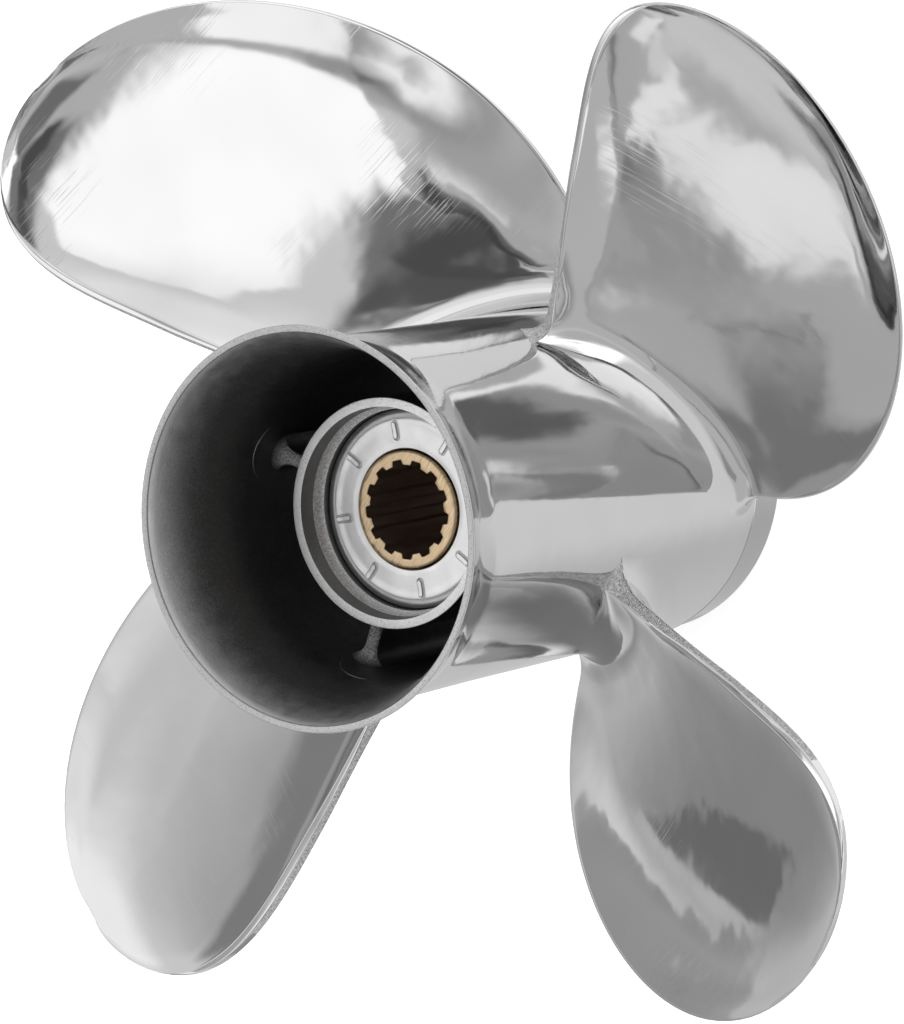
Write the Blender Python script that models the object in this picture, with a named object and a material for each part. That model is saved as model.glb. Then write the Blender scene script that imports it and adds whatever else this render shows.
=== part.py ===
"""Four-blade right-hand boat propeller with the exhaust led out through its hub.

The outer hub, blades, webs and inner hub are one polished stainless casting on the
real propeller. They are kept here as separate solids with a thin seam between them.
A rubber bush is held inside the inner hub, with a splined brass sleeve in its middle
and a stamped steel washer over its aft end.

The shaft runs along Z and points aft. The origin is at the centre of the forward
face of the hub, which is the face that the propeller stands on.
Lengths in the constants are millimetres, angles are degrees.
"""

import math

import bmesh
import bpy

MM = 0.001
SEAM = 0.3

# Outer hub
HUB_LENGTH = 135.0
BARREL_RADIUS = 40.7
BORE_RADIUS = 37.4
BAND_LENGTH = 11.2
BAND_RADIUS = 39.8
BAND_TAPER = 0.2
FLARE_START = 120.0
BELL_START = 104.0
RIM_RADIUS = 45.0
RIM_WALL = 1.8
EDGE = 0.5
HUB_SEGMENTS = 80

# Blades
BLADE_COUNT = 4
BLADE_PHASE = 19.27
TIP_RADIUS = 140.0
ROOT_PITCH = 265.5
TIP_PITCH = 233.1
MID_CHORD_Z = 43.98
RAKE_SLOPE = 0.2835
RAKE_CURVE = 0.002156
SKEW = (-0.2423, 0.9522, -0.4665)
HALF_CHORD = (36.61, 35.14, -12.40, 15.35)
TIP_POWER = 3.018
ROOT_THICKNESS = 6.4
TIP_THICKNESS = 1.8
ROOT_LEADING_EDGE = 2.0
TIP_LEADING_EDGE = 1.2
CAMBER_RATIO = 0.028
CUP_DEPTH = 1.2
CUP_START = 0.88
FACE_SHARE = 0.55
FILLET_WIDTH = 6.0
FILLET_HEIGHT = 10.0
FILLET_EDGE_SHARE = 0.53
SPAN_STEPS = 10
CHORD_STEPS = 16

# Blunt trailing edge: its thickness, how far it reaches past the chord, its slanted end face
END_THICKNESS = 2.2
END_CUP_GAIN = 0.55
END_TIP_LOSS = 1.15
END_REACH = 0.7
END_TRIM = 4.6
END_TRIM_FROM = 47.0
END_TRIM_SPAN = 38.0
END_FOOT_WIDTH = 4.0
END_FOOT_HEIGHT = 5.0
END_SLANT = 1.0
END_SLANT_GAIN = 0.7
END_BEVEL = 0.42
END_SHARES = (0.34, 0.56, 0.78)

# Inner hub, webs, bush, sleeve and washer
INNER_HUB_RADIUS = 26.05
INNER_HUB_FRONT = 12.0
INNER_HUB_AFT = 103.4
INNER_BORE_RADIUS = 22.8
RECESS_RADIUS = 23.95
SHELF_RADIUS = 23.75
SHELF_TOP = 98.95
SHELF_BOTTOM = 95.85
WEB_PHASE = 59.5
WEB_FRONT = 16.0
WEB_AFT = 96.0
WEB_HALF_THICKNESS = 1.7
WEB_FLARE = 3.6
BUSH_FRONT = 18.0
WASHER_BOTTOM = 93.2
WASHER_THICKNESS = 1.8
RIB_COUNT = 8
RIB_PHASE = 41.4
RIB_INNER = 15.7
RIB_OUTER = 20.2
RIB_TOP_HALF_WIDTH = 0.42
RIB_FOOT_HALF_WIDTH = 0.8
RIB_HEIGHT = 0.5
SLEEVE_RADIUS = 13.3
SLEEVE_AFT = 95.9
SPLINE_COUNT = 13
SPLINE_PHASE = -0.5
SPLINE_MAJOR = 11.25
SPLINE_MINOR = 10.1
CORE_SEGMENTS = 64


def make_material(name, colour, roughness, metallic):
    mat = bpy.data.materials.new(name)
    mat.use_nodes = True
    shader = mat.node_tree.nodes["Principled BSDF"]
    shader.inputs["Base Color"].default_value = (*colour, 1.0)
    shader.inputs["Roughness"].default_value = roughness
    shader.inputs["Metallic"].default_value = metallic
    mat.diffuse_color = (*colour, 1.0)
    return mat


def add_object(name, bm, mat, smooth_angle=35.0):
    """Turn a bmesh whose lengths are millimetres into a named object."""
    bmesh.ops.recalc_face_normals(bm, faces=bm.faces)
    for vert in bm.verts:
        vert.co *= MM
    mesh = bpy.data.meshes.new(name)
    bm.to_mesh(mesh)
    bm.free()
    mesh.materials.append(mat)
    mesh.shade_smooth()
    mesh.set_sharp_from_angle(angle=math.radians(smooth_angle))
    obj = bpy.data.objects.new(name, mesh)
    bpy.context.scene.collection.objects.link(obj)
    return obj


def turned(name, profile, segments, mat):
    """Spin a closed outline of (radius, height) points once round the shaft."""
    bm = bmesh.new()
    verts = [bm.verts.new((radius, 0.0, height)) for radius, height in profile]
    edges = [bm.edges.new((a, b)) for a, b in zip(verts, verts[1:] + verts[:1])]
    bmesh.ops.spin(bm, geom=verts + edges, cent=(0, 0, 0), axis=(0, 0, 1),
                   angle=math.tau, steps=segments, use_merge=True)
    bmesh.ops.remove_doubles(bm, verts=bm.verts, dist=0.0005)
    return add_object(name, bm, mat)


def skin(bm, loops):
    """Join closed loops of equal length, one after another, with quads."""
    for low, high in zip(loops, loops[1:]):
        count = len(low)
        for i in range(count):
            j = (i + 1) % count
            bm.faces.new((low[i], low[j], high[j], high[i]))


def smooth_step(value):
    value = min(1.0, max(0.0, value))
    return value * value * (3.0 - 2.0 * value)


def polar(radius, angle, height):
    return (radius * math.cos(angle), radius * math.sin(angle), height)


# Outer hub

def flare(start, end, low, high, steps, power):
    """Points on a bell mouth that widens from one radius to another."""
    points = []
    for i in range(steps + 1):
        part = i / steps
        points.append((start + (end - start) * part ** power, low + (high - low) * part))
    return points


def build_outer_hub(mat):
    outside = [(BAND_RADIUS - EDGE, 0.0),
               (BAND_RADIUS, EDGE),
               (BAND_RADIUS + BAND_TAPER, BAND_LENGTH - 0.6),
               (BARREL_RADIUS, BAND_LENGTH + 0.3),
               (BARREL_RADIUS, 45.0),
               (BARREL_RADIUS, 80.0)]
    outside += flare(BARREL_RADIUS + 0.3, RIM_RADIUS, FLARE_START, HUB_LENGTH - EDGE, 5, 1.55)
    lip = [(RIM_RADIUS - 0.3, HUB_LENGTH), (RIM_RADIUS - RIM_WALL, HUB_LENGTH)]
    inside = flare(BORE_RADIUS, RIM_RADIUS - RIM_WALL - 0.1, BELL_START, HUB_LENGTH - EDGE, 6, 2.2)[::-1]
    forward = [(BORE_RADIUS, 45.0), (BORE_RADIUS, 6.0), (BORE_RADIUS + 0.5, 0.0)]
    return turned("outer_hub", outside + lip + inside + forward, HUB_SEGMENTS, mat)


# Blades

def span_part(radius):
    return min(1.0, max(0.0, (radius - BARREL_RADIUS) / (TIP_RADIUS - BARREL_RADIUS)))


def cubic(coefficients, value):
    return sum(c * value ** i for i, c in enumerate(coefficients))


def blade_point(radius, along, across, number):
    """Place a point of a blade section that is wrapped round the shaft.

    along runs from the leading edge (negative) to the trailing edge, across runs
    from the forward face to the aft face, which is the face that drives the water.
    """
    part = span_part(radius)
    pitch = ROOT_PITCH + (TIP_PITCH - ROOT_PITCH) * part
    slope = math.atan2(pitch, math.tau * radius)
    outward = max(0.0, radius - BARREL_RADIUS)
    middle = math.radians(BLADE_PHASE + number * 360.0 / BLADE_COUNT)
    middle += part * cubic(SKEW, part)
    height = MID_CHORD_Z + RAKE_SLOPE * outward + RAKE_CURVE * outward ** 2
    turn = (along * math.cos(slope) - across * math.sin(slope)) / radius
    rise = along * math.sin(slope) + across * math.cos(slope)
    return polar(radius, middle + turn, height + rise)


def end_face(radius, half):
    """Thickness of the trailing edge, its reach past the chord and the slant of its end."""
    climb = radius - BARREL_RADIUS
    thick = END_THICKNESS + END_CUP_GAIN * smooth_step((radius - 72.0) / 26.0)
    thick -= END_TIP_LOSS * smooth_step((radius - 108.0) / 28.0)
    free = min(1.0, max(0.0, (radius - END_TRIM_FROM) / END_TRIM_SPAN))
    reach = END_REACH * (1.0 - smooth_step((radius - 128.0) / 11.0)) - END_TRIM * (1.0 - free) ** 1.5
    if climb < END_FOOT_HEIGHT:
        reach += END_FOOT_WIDTH * (1.0 - math.sqrt(1.0 - (1.0 - climb / END_FOOT_HEIGHT) ** 2))
    slant = END_SLANT + END_SLANT_GAIN * smooth_step((radius - 70.0) / 20.0)
    slant *= 1.0 - 0.85 * smooth_step((radius - 122.0) / 15.0)
    return thick, reach, min(slant, 0.5 * half)


def section(radius):
    """Nose point, aft and forward faces from leading to trailing edge, and the end face.

    Near the barrel the outline is grown square to itself by a fillet's depth, except
    past the trailing edge, which is ground off flat.
    """
    part = span_part(radius)
    half = math.sqrt(max(0.0, 1.0 - part ** TIP_POWER)) * cubic(HALF_CHORD, part)
    thick = TIP_THICKNESS + (ROOT_THICKNESS - TIP_THICKNESS) * (1.0 - part) ** 1.3
    trailing, reach, slant = end_face(radius, half)
    leading = TIP_LEADING_EDGE + (ROOT_LEADING_EDGE - TIP_LEADING_EDGE) * (1.0 - part)
    cup = CUP_DEPTH * smooth_step(part / 0.15) * min(1.0, half / 30.0)
    climb = min(1.0, max(0.0, (radius - BARREL_RADIUS - SEAM) / FILLET_HEIGHT))
    grow = FILLET_WIDTH * (1.0 - math.sqrt(1.0 - (1.0 - climb) ** 2))
    aft, forward, shares = [], [], []
    for i in range(1, CHORD_STEPS + 1):
        spot = 0.5 - 0.5 * math.cos(math.pi * (i / CHORD_STEPS) ** 1.15)
        spot = min(1.0, spot + 0.004)
        edge = leading + (trailing - leading) * spot
        nose = math.sqrt(1.0 - (1.0 - min(1.0, spot / 0.03)) ** 2)
        depth = edge * nose + max(0.0, thick - edge) * (4.0 * spot * (1.0 - spot)) ** 0.75
        curve = CAMBER_RATIO * 2.0 * half * 4.0 * spot * (1.0 - spot)
        hook = max(0.0, (spot - CUP_START) / (1.0 - CUP_START)) ** 2
        curve += cup * smooth_step(spot / 0.25) * (1.0 - hook)
        face = FACE_SHARE * edge - 0.5 * (1.0 - nose) * leading - curve
        aft.append((-half + (2.0 * half + reach - slant) * spot, face))
        forward.append((-half + (2.0 * half + reach) * spot, face - depth))
        shares.append(1.0 - (1.0 - FILLET_EDGE_SHARE) * smooth_step((spot - 0.72) / 0.28))
    tip = (-half, 0.5 * (aft[0][1] + forward[0][1]))
    aft = grown(tip, aft, [grow * share for share in shares])
    forward = grown(tip, forward, [-grow * share for share in shares])
    bevel = END_BEVEL * slant * smooth_step((radius - 58.0) / 14.0)
    ends = []
    for share in END_SHARES:
        along = aft[-1][0] + (forward[-1][0] - aft[-1][0]) * share
        across = aft[-1][1] + (forward[-1][1] - aft[-1][1]) * share
        ends.append((along + bevel * (1.0 - share) / (1.0 - END_SHARES[0]), across))
    return (tip[0] - grow, tip[1]), aft, forward, ends


def grown(tip, side, amounts):
    """Move one face of a section outward, square to its own run."""
    run = [tip] + side
    result = []
    for i, amount in enumerate(amounts, 1):
        if i == len(run) - 1:
            result.append((run[i][0], run[i][1] + amount))
            continue
        along = run[i + 1][0] - run[i - 1][0]
        across = run[i + 1][1] - run[i - 1][1]
        size = math.hypot(along, across)
        result.append((run[i][0] - across / size * amount, run[i][1] + along / size * amount))
    return result


def blade_levels():
    levels = [BARREL_RADIUS + SEAM + FILLET_HEIGHT * f for f in (0.0, 0.034, 0.16, 0.44, 1.0)]
    first = levels[-1]
    for i in range(1, SPAN_STEPS + 1):
        part = 1.0 - (1.0 - i / SPAN_STEPS) ** 1.6
        levels.append(first + (TIP_RADIUS - 0.15 - first) * part)
    return levels


def build_blade(name, number, mat):
    bm = bmesh.new()
    loops = []
    for radius in blade_levels():
        nose, aft, forward, ends = section(radius)
        outline = [nose] + aft + ends + forward[::-1]
        loops.append([bm.verts.new(blade_point(radius, *spot, number)) for spot in outline])
    skin(bm, loops)
    close_root(bm, loops[0], number)
    bm.faces.new(loops[-1])
    return add_object(name, bm, mat)


def close_root(bm, loop, number):
    """Close the foot of a blade with strips that follow the barrel's curve."""
    radius = BARREL_RADIUS + SEAM
    nose, aft, forward, ends = section(radius)
    steps = len(ends) + 1
    rows = []
    for i in range(CHORD_STEPS):
        row = [loop[1 + i]]
        for j in range(1, steps):
            if i == CHORD_STEPS - 1:
                row.append(loop[CHORD_STEPS + j])
                continue
            along, across = (a + (b - a) * j / steps for a, b in zip(aft[i], forward[i]))
            row.append(bm.verts.new(blade_point(radius, along, across, number)))
        row.append(loop[len(loop) - 1 - i])
        rows.append(row)
    for j in range(steps):
        bm.faces.new((loop[0], rows[0][j], rows[0][j + 1]))
    for low, high in zip(rows, rows[1:]):
        for j in range(steps):
            bm.faces.new((low[j], high[j], high[j + 1], low[j + 1]))


# Inner hub, webs, bush, washer and sleeve

def build_inner_hub(mat):
    outline = [(INNER_BORE_RADIUS + 1.2, INNER_HUB_FRONT),
               (INNER_HUB_RADIUS - 1.0, INNER_HUB_FRONT),
               (INNER_HUB_RADIUS, INNER_HUB_FRONT + 1.0),
               (INNER_HUB_RADIUS, 55.0),
               (INNER_HUB_RADIUS, INNER_HUB_AFT - 0.35),
               (INNER_HUB_RADIUS - 0.35, INNER_HUB_AFT),
               (RECESS_RADIUS, INNER_HUB_AFT),
               (SHELF_RADIUS, SHELF_TOP),
               (INNER_BORE_RADIUS, SHELF_BOTTOM),
               (INNER_BORE_RADIUS, 55.0),
               (INNER_BORE_RADIUS, INNER_HUB_FRONT + 3.0)]
    return turned("inner_hub", outline, CORE_SEGMENTS, mat)


def build_web(name, number, mat):
    """A radial web whose foot spreads where it meets the wall of the outer hub."""
    start = INNER_HUB_RADIUS + SEAM
    end = BORE_RADIUS - SEAM
    centre = math.radians(WEB_PHASE + 90.0 * number)
    bm = bmesh.new()
    loops = []
    for part in (0.0, 0.12, 0.5, 0.72, 0.86, 0.95, 1.0):
        radius = start + (end - start) * part
        outer = max(0.0, (part - 0.6) / 0.4) ** 2.2
        inner = max(0.0, 1.0 - part / 0.12)
        half = WEB_HALF_THICKNESS + WEB_FLARE * outer + 0.6 * inner
        top = WEB_AFT + WEB_FLARE * 0.8 * outer + 0.6 * inner
        low = WEB_FRONT - WEB_FLARE * 0.8 * outer - 0.6 * inner
        outline = []
        for i in range(5):
            angle = math.pi * i / 4
            outline.append((half * math.cos(angle), top - half + half * math.sin(angle)))
        outline.append((-half, 0.5 * (top + low)))
        for i in range(5):
            angle = math.pi * (1 + i / 4)
            outline.append((half * math.cos(angle), low + half + half * math.sin(angle)))
        outline.append((half, 0.5 * (top + low)))
        loops.append([bm.verts.new(polar(radius, centre + math.asin(side / radius), height))
                      for side, height in outline])
    skin(bm, loops)
    for loop in (loops[0], loops[-1]):
        left = loop[0:5]
        right = loop[6:11]
        middle_a, middle_b = loop[5], loop[11]
        bm.faces.new(left)
        bm.faces.new((left[0], left[-1], middle_a, middle_b))
        bm.faces.new((middle_b, middle_a, right[0], right[-1]))
        bm.faces.new(right)
    return add_object(name, bm, mat)


def build_bush(mat):
    inner = SLEEVE_RADIUS + SEAM
    outer = INNER_BORE_RADIUS - SEAM
    top = WASHER_BOTTOM - SEAM
    outline = [(inner, BUSH_FRONT + 1.0),
               (inner + 1.0, BUSH_FRONT),
               (outer - 1.5, BUSH_FRONT),
               (outer, BUSH_FRONT + 1.5),
               (outer, 55.0),
               (outer, top),
               (inner, top),
               (inner, 55.0)]
    return turned("rubber_bush", outline, CORE_SEGMENTS, mat)


def build_washer(mat):
    """A flat ring with short raised ribs pressed into it, pointing at the shaft."""
    inner = SLEEVE_RADIUS + SEAM
    outer = INNER_BORE_RADIUS - SEAM
    base = WASHER_BOTTOM + WASHER_THICKNESS
    rings = [(inner, 0.0, base - 0.2), (inner + 0.5, 0.0, base),
             (RIB_INNER, 0.0, base), (RIB_INNER + 0.6, RIB_HEIGHT, base),
             (RIB_OUTER - 0.6, RIB_HEIGHT, base), (RIB_OUTER, 0.0, base),
             (outer - 1.1, 0.0, base - 0.2), (outer, 0.0, base - 0.95)]
    middle = 0.5 * (RIB_INNER + RIB_OUTER)
    top, foot = RIB_TOP_HALF_WIDTH / middle, RIB_FOOT_HALF_WIDTH / middle
    offsets = []
    for rib in range(RIB_COUNT):
        centre = math.radians(RIB_PHASE + rib * 360.0 / RIB_COUNT)
        offsets += [(centre - foot, 0.0), (centre - top, 1.0), (centre + top, 1.0), (centre + foot, 0.0),
                    (centre + math.pi / RIB_COUNT, 0.0)]
    bm = bmesh.new()
    loops = []
    for radius, rise, height in rings:
        loops.append([bm.verts.new(polar(radius, angle, height + rise * share)) for angle, share in offsets])
    for radius in (outer, inner):
        loops.append([bm.verts.new(polar(radius, angle, WASHER_BOTTOM)) for angle, share in offsets])
    loops.append(loops[0])
    skin(bm, loops)
    return add_object("end_washer", bm, mat)


def build_sleeve(mat):
    """A tube with straight splines cut along its bore."""
    bm = bmesh.new()
    pitch = math.tau / SPLINE_COUNT
    start = math.radians(SPLINE_PHASE)
    inner_plan, outer_angles = [], []
    for tooth in range(SPLINE_COUNT):
        middle = start + tooth * pitch
        for side, radius in ((-0.30, SPLINE_MINOR), (-0.20, SPLINE_MAJOR),
                             (0.20, SPLINE_MAJOR), (0.30, SPLINE_MINOR)):
            inner_plan.append((radius, middle + side * pitch))
            outer_angles.append(middle + side * pitch)
    front = INNER_HUB_FRONT
    loops = []
    for height, grow in ((front, 0.3), (front + 0.5, 0.0), (SLEEVE_AFT - 0.5, 0.0),
                         (SLEEVE_AFT, 0.4)):
        loops.append([bm.verts.new(polar(radius + grow, angle, height))
                      for radius, angle in inner_plan])
    for height, shrink in ((SLEEVE_AFT, 0.4), (SLEEVE_AFT - 0.4, 0.0), (front + 0.4, 0.0),
                           (front, 0.4)):
        loops.append([bm.verts.new(polar(SLEEVE_RADIUS - shrink, angle, height))
                      for angle in outer_angles])
    loops.append(loops[0])
    skin(bm, loops)
    return add_object("splined_sleeve", bm, mat)


def main():
    for obj in list(bpy.data.objects):
        bpy.data.objects.remove(obj, do_unlink=True)

    polished = make_material("polished_stainless", (0.66, 0.66, 0.66), 0.12, 1.0)
    blasted = make_material("blasted_stainless", (0.34, 0.34, 0.34), 0.55, 1.0)
    satin = make_material("satin_steel", (0.60, 0.60, 0.60), 0.35, 1.0)
    rubber = make_material("black_rubber", (0.03, 0.03, 0.03), 0.8, 0.0)
    brass = make_material("machined_brass", (0.62, 0.47, 0.28), 0.3, 1.0)

    build_outer_hub(polished)
    for number in range(BLADE_COUNT):
        build_blade(f"blade_{number + 1}", number, polished)
    build_inner_hub(blasted)
    for number in range(4):
        build_web(f"web_{number + 1}", number, blasted)
    build_bush(rubber)
    build_washer(satin)
    build_sleeve(brass)


main()
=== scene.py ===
"""Studio scene of the propeller: the fine surface, its materials, the light and the camera.

Lengths in the constants are millimetres and angles are degrees, as in the part itself. The
camera's place, the floor, the painted shade and all lengths in the materials are metres.
"""

import math

import bmesh
import bpy
import numpy as np
from mathutils import Euler, Matrix

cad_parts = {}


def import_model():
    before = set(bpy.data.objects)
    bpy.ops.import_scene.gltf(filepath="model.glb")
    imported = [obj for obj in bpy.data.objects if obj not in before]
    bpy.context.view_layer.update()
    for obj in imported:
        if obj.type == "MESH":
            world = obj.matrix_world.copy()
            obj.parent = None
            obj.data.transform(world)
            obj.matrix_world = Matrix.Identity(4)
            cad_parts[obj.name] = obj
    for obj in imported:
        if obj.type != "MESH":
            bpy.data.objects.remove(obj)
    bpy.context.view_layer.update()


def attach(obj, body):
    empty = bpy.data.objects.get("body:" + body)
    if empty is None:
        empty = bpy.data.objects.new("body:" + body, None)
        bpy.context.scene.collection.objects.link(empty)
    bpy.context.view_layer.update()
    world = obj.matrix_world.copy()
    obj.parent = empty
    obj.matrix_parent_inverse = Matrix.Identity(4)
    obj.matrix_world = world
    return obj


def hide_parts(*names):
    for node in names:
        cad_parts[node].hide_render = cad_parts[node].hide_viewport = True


MM = 0.001

# Edges sharper than this many degrees stay sharp; points closer than this many metres are one
SHARP_ANGLE = 32.0
MERGE_DISTANCE = 0.000002

# Points on each round corner of a turned outline
CORNER_STEPS = 6

# Round corners of the blades' sections: the most of a side that one takes, and its middle point
CORNER_LIMIT = 0.4
CORNER_MIDDLE = 0.29
TINY = 1e-9

# Outer hub
HUB_SEGMENTS = 288
HUB_LENGTH = 135.0
BARREL_RADIUS = 40.7
BORE_RADIUS = 37.4
BAND_LENGTH = 11.2
BAND_RADIUS = 39.8
BAND_TAPER = 0.25
GROOVE_DEPTH = 0.3
TAPER_START = 84.0
TAPER_LENGTH = 34.0
TAPER_GROWTH = 0.3
FLARE_START = 120.0
FLARE_RADIUS = 41.0
FLARE_POWER = 1.55
RIM_RADIUS = 45.0
RIM_INNER = 43.2
BELL_START = 104.0
BELL_POWER = 2.2

# Faces less deep than this under the barrel, and under the flare, are polished
BARREL_POLISH_DEPTH = 1.4
FLARE_POLISH_DEPTH = 0.6
FLARE_POLISH_FROM = 100.0

# Blades
BLADE_COUNT = 4
BLADE_PHASE = 19.27
TIP_RADIUS = 139.9
SPAN_END = 140.0
ROOT_PITCH = 265.5
TIP_PITCH = 233.1
MID_CHORD_Z = 43.98
RAKE_SLOPE = 0.2835
RAKE_CURVE = 0.002156
ROOT_DEPTH = 0.8

# Skew in radians and half the chord, as polynomials of the share of the span
SKEW = (-0.2423, 0.9522, -0.4665)
HALF_CHORD = (36.61, 35.14, -12.40, 15.35)
TIP_POWER = 3.018
TIP_ROUNDING = 0.9
MAIN_RINGS = 58
TIP_ZONE = 9.0
TIP_STEPS = (7.2, 5.6, 4.2, 3.1, 2.2, 1.5, 1.0, 0.65, 0.4, 0.22, 0.1, 0.03, 0.0)

# Section of the blade
ROOT_THICKNESS = 6.4
TIP_THICKNESS = 1.8
THICKNESS_POWER = 1.3
FULLNESS_POWER = 0.8
ROOT_LEADING_EDGE = 2.0
TIP_LEADING_EDGE = 1.2
NOSE_LENGTH = 1.6
CAMBER_RATIO = 0.028
FACE_SHARE = 0.55
CUP_DEPTH = 1.2
CUP_START = 0.88
CUP_FULL_HALF_CHORD = 30.0

# Fillet between blade and hub
FILLET_WIDTH = 10.0
FILLET_HEIGHT = 8.5
FILLET_EDGE_SHARE = 0.32
FILLET_NOSE_SHARE = 0.58
FILLET_ANGLES = (0.0, 6.0, 13.0, 21.0, 30.0, 40.0, 50.0, 60.0, 70.0, 80.0, 90.0)

# Blunt trailing edge: its thickness, how far it reaches past the chord, and its slanted end face
END_THICKNESS = 2.2
END_CUP_GAIN = 0.55
END_TIP_LOSS = 1.15
END_REACH = 0.7
END_TRIM = 4.6
END_TRIM_FROM = 47.0
END_TRIM_SPAN = 38.0
END_TRIM_POWER = 1.5
END_FOOT_WIDTH = 4.0
END_FOOT_HEIGHT = 5.0
END_SLANT = 1.0
END_SLANT_GAIN = 0.7
END_SLANT_LOSS = 0.85
END_BEVEL = 0.42
END_CORNER = 0.16
END_POINTS = (0.5, 0.88)
END_NOTCH = 0.16
END_NOTCH_SHARE = 0.93
BEVEL_FOOT_SHARE = 0.04
BEVEL_SHARE_GAIN = 0.30
ROUGH_END_RADIUS = 114.0
ROUGH_FOOT_RADIUS = 56.0

# Where these changes run in, as (start, length) in radii of the blade
END_CUP_RUN = (72.0, 26.0)
END_TIP_RUN = (108.0, 28.0)
REACH_LOSS_RUN = (128.0, 11.0)
SLANT_GAIN_RUN = (70.0, 20.0)
SLANT_LOSS_RUN = (122.0, 15.0)
BEVEL_RUN = (55.0, 16.0)
NOTCH_LOSS_RUN = (52.0, 18.0)

# The same in shares of the span, and in shares of the chord
CUP_SPAN_RUN = (0.0, 0.15)
CUP_CHORD_RUN = (0.0, 0.25)
FILLET_EDGE_RUN = (0.72, 0.28)
FILLET_NOSE_RUN = (0.0, 0.14)

# Inner hub, webs, bush, washer and sleeve
INNER_HUB_SEGMENTS = 192
INNER_HUB_RADIUS = 26.05
INNER_HUB_FRONT = 12.0
INNER_HUB_AFT = 103.4
INNER_BORE_RADIUS = 22.8
RECESS_RADIUS = 23.95
SHELF_RADIUS = 23.75
SHELF_TOP = 98.95
SHELF_BOTTOM = 95.9
WEB_TURNS = (59.5, 147.2, 239.5, 327.2)
WEB_FRONT = 16.0
WEB_AFT = 96.0
WEB_HALF_THICKNESS = 1.6
WEB_OUTER_FLARE = 3.4
WEB_END_FLARE = 2.4
WEB_INNER_FLARE = 0.6
WEB_INNER_REACH = 0.16
WEB_OUTER_START = 0.5
WEB_OUTER_POWER = 3.8
WEB_OVERLAP = 0.3

# Arcs on the bell's wall beyond two webs, as (offset, height, size, start angle, end angle)
WITNESS_MARKS = ((-1.1, 97.2, 7.8, -62.0, 62.0), (6.1, 98.4, 9.2, -72.0, 16.0))
WITNESS_THICKNESS = 0.16
WITNESS_TAPER = 0.96
WITNESS_RINGS = 31
WITNESS_SIDES = 8

BUSH_SEGMENTS = 128
BUSH_FRONT = 18.0
BUSH_AFT = 92.8
BUSH_CLEARANCE = 0.1

WASHER_TOP = 95.2
WASHER_BOTTOM = 93.3
WASHER_OUTER_CLEARANCE = 0.14
WASHER_INNER_CLEARANCE = 0.42
RIB_COUNT = 8
RIB_PHASE = 41.4
RIB_RADIUS = 18.0
RIB_HALF_LENGTH = 1.35
RIB_HALF_WIDTH = 0.42
RIB_HEIGHT = 0.5
RIB_SLOPE = 0.26
RIB_SPAN = 1.3
RIB_STEPS = 53

# The pressed line round each rib: its depth, its distance from the rib's middle and its width
RIB_LINE = (0.27, 0.78, 0.13)

# The washer's sheet: it dips inside one radius, swells at another and rolls down past a third
DIP_DEPTH, DIP_RADIUS = 0.12, 15.0
SWELL_HEIGHT, SWELL_RADIUS = 0.16, 20.0
ROLL_DEPTH, ROLL_RADIUS, ROLL_POWER = 0.95, 20.2, 1.8
OUTER_EDGE_DROP, OUTER_EDGE_WIDTH = 0.25, 0.4
INNER_EDGE_DROP, INNER_EDGE_WIDTH = 0.22, 0.3

SLEEVE_RADIUS = 13.3
SLEEVE_AFT = 95.9
SPLINE_COUNT = 13
SPLINE_PHASE = -0.5
SPLINE_MAJOR = 11.25
SPLINE_MINOR = 10.1

# Camera: fitted to the outline of the object in the photograph
CAMERA_PLACE = (-0.01481, -0.70201, 1.07225)
CAMERA_ANGLES = (-7.8866, 34.4685, -104.7573)
CAMERA_LENS = 188.38
SENSOR_WIDTH = 36.0

# Half the side of the studio floor in metres, its grey and the light that it gives
FLOOR_HALF_SIZE = 20.0
FLOOR_GREY = 0.86
FLOOR_ROUGHNESS = 0.9
FLOOR_GLOW = 0.6

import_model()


# Mesh helpers

def smooth_step(value):
    value = np.clip(value, 0.0, 1.0)
    return value * value * (3.0 - 2.0 * value)


def run_in(value, start, length):
    """Goes smoothly from 0 at the start to 1 a length further on."""
    return smooth_step((value - start) / length)


def polynomial(coefficients, value):
    return sum(c * value ** i for i, c in enumerate(coefficients))


def polar(radius, angle, height):
    radius, angle, height = np.broadcast_arrays(radius, angle, height)
    return np.stack([radius * np.cos(angle), radius * np.sin(angle), height], axis=-1)


def mesh_from_grids(name, grids, materials):
    """grids: (points[rows, columns, 3] in mm, wrap rows, wrap columns, slot or slot array)."""
    verts, faces, slots = [], [], []
    base = 0
    for points, wrap_rows, wrap_columns, slot in grids:
        rows, columns = points.shape[:2]
        verts.append(points.reshape(-1, 3))
        index = np.arange(rows * columns).reshape(rows, columns) + base
        if wrap_rows:
            index = np.vstack([index, index[:1]])
        if wrap_columns:
            index = np.hstack([index, index[:, :1]])
        corners = [index[:-1, :-1], index[:-1, 1:], index[1:, 1:], index[1:, :-1]]
        quads = np.stack(corners, axis=-1)
        faces.append(quads.reshape(-1, 4))
        slots.append(np.broadcast_to(slot, quads.shape[:2]).reshape(-1))
        base += rows * columns
    mesh = bpy.data.meshes.new(name)
    mesh.from_pydata((np.concatenate(verts) * MM).tolist(), [], np.concatenate(faces).tolist())
    for material in materials:
        mesh.materials.append(material)
    mesh.polygons.foreach_set("material_index", np.concatenate(slots).astype(np.int32))
    mesh.validate()
    clean(mesh)
    obj = bpy.data.objects.new(name, mesh)
    bpy.context.scene.collection.objects.link(obj)
    return obj


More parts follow.
